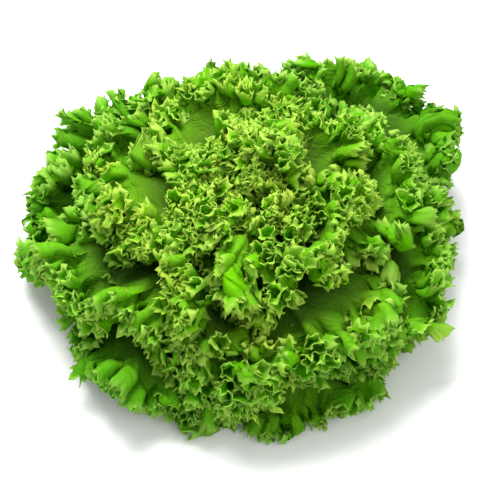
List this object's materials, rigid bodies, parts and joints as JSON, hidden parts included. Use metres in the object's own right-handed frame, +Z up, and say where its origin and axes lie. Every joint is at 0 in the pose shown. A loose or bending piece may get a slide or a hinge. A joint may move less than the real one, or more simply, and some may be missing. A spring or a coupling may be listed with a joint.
{
  "type": "coral lettuce",
  "caption": "Whole loose-leaf lettuce head with frilled, spreading leaves around a short cut stem, standing on the cut face.",
  "frame": {"origin": "centre of the stem's cut face, on the surface the head stands on", "axes": "+Z up along the stem, -Y towards the side the outermost leaf lies on, +X to the right seen from there"},
  "size_m": [0.275, 0.2578, 0.1241],
  "materials": {
    "stem": "pale green-white flesh, satin, browned at the cut",
    "heart_leaf": "satin leaf, yellow-green, light passing through",
    "inner_leaf": "satin leaf, light green, light passing through",
    "middle_leaf": "satin leaf, mid green, light passing through",
    "outer_leaf": "satin leaf, deeper green, light passing through"
  },
  "bodies": {
    "root": {"core": "stem", "heart_leaf_1": "heart_leaf", "heart_leaf_2": "heart_leaf", "heart_leaf_3": "heart_leaf", "heart_leaf_4": "heart_leaf", "heart_leaf_5": "heart_leaf", "inner_leaf_1": "inner_leaf", "inner_leaf_2": "inner_leaf", "inner_leaf_3": "inner_leaf", "inner_leaf_4": "inner_leaf", "inner_leaf_5": "inner_leaf", "inner_leaf_6": "inner_leaf", "inner_leaf_7": "inner_leaf", "inner_leaf_8": "inner_leaf", "middle_leaf_1": "middle_leaf", "middle_leaf_2": "middle_leaf", "middle_leaf_3": "middle_leaf", "middle_leaf_4": "middle_leaf", "middle_leaf_5": "middle_leaf", "middle_leaf_6": "middle_leaf", "middle_leaf_7": "middle_leaf", "middle_leaf_8": "middle_leaf", "outer_leaf_1": "outer_leaf", "outer_leaf_2": "outer_leaf", "outer_leaf_3": "outer_leaf", "outer_leaf_4": "outer_leaf", "outer_leaf_5": "outer_leaf", "outer_leaf_6": "outer_leaf", "outer_leaf_7": "outer_leaf", "outer_leaf_8": "outer_leaf"}
  },
  "joints": []
}
